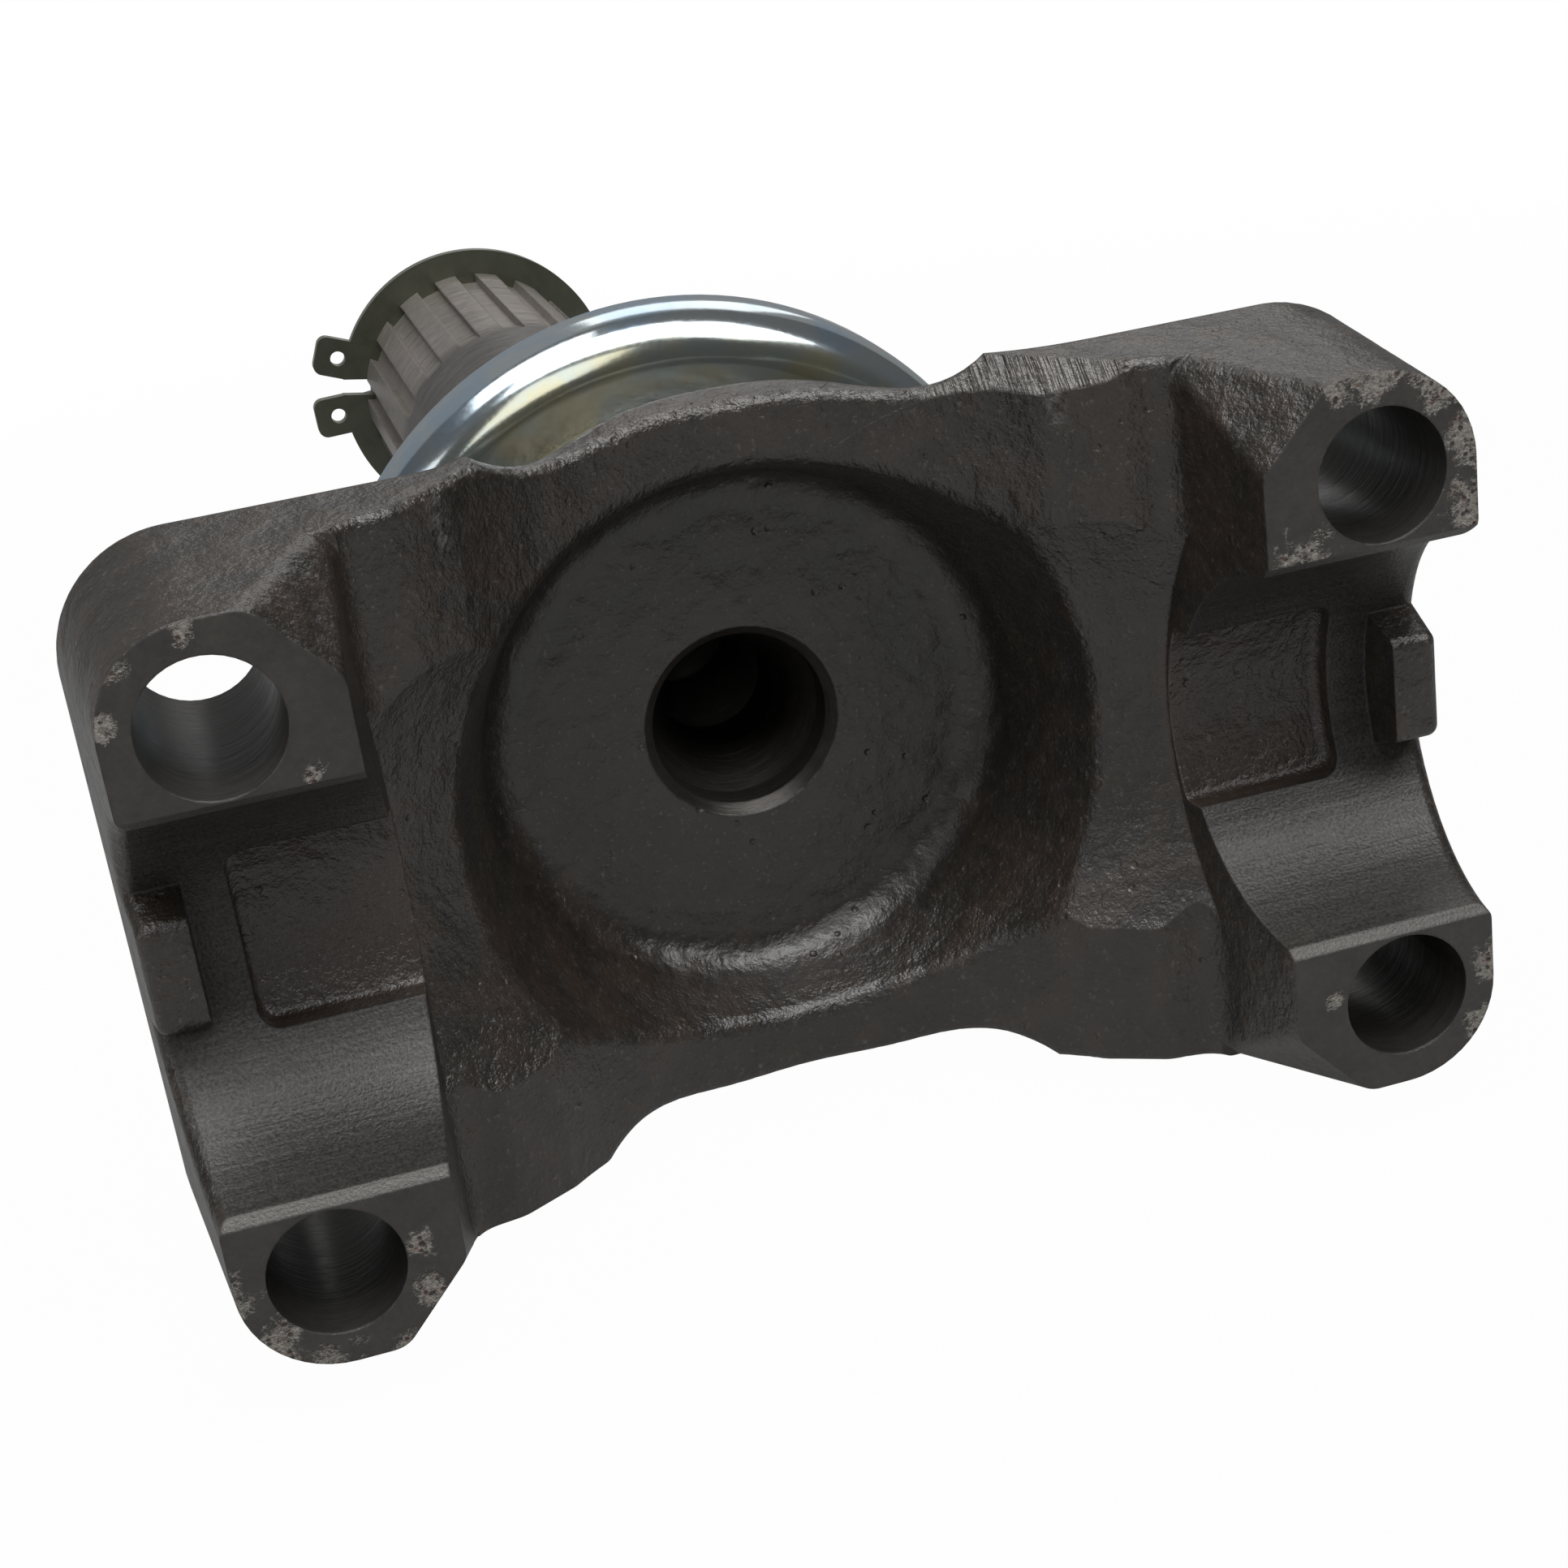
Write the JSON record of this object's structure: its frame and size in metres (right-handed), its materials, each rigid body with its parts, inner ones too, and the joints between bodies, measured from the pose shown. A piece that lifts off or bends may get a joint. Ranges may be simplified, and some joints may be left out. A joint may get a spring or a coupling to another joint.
{
  "type": "forged yoke",
  "caption": "Forged half-round end yoke for a universal joint, in one piece with its splined stub shaft, with a pressed dust slinger and a snap ring.",
  "frame": {"origin": "on the shaft axis, in the plane of the four bolt faces, at the centre of the bolt pattern", "axes": "+Y along the shaft away from the arms, X from arm to arm along the cap seats, +Z from bolt to bolt on an arm, up"},
  "size_m": [0.1032, 0.177, 0.064],
  "materials": {
    "forging": "dark forged scale, satin, machined seats and faces a little paler",
    "zinc_plate": "bright zinc plate with a faint yellow tint",
    "spring_steel": "dark oiled spring steel"
  },
  "bodies": {
    "root": {"yoke": "forging", "dust_slinger": "zinc_plate", "snap_ring": "spring_steel"}
  },
  "joints": []
}
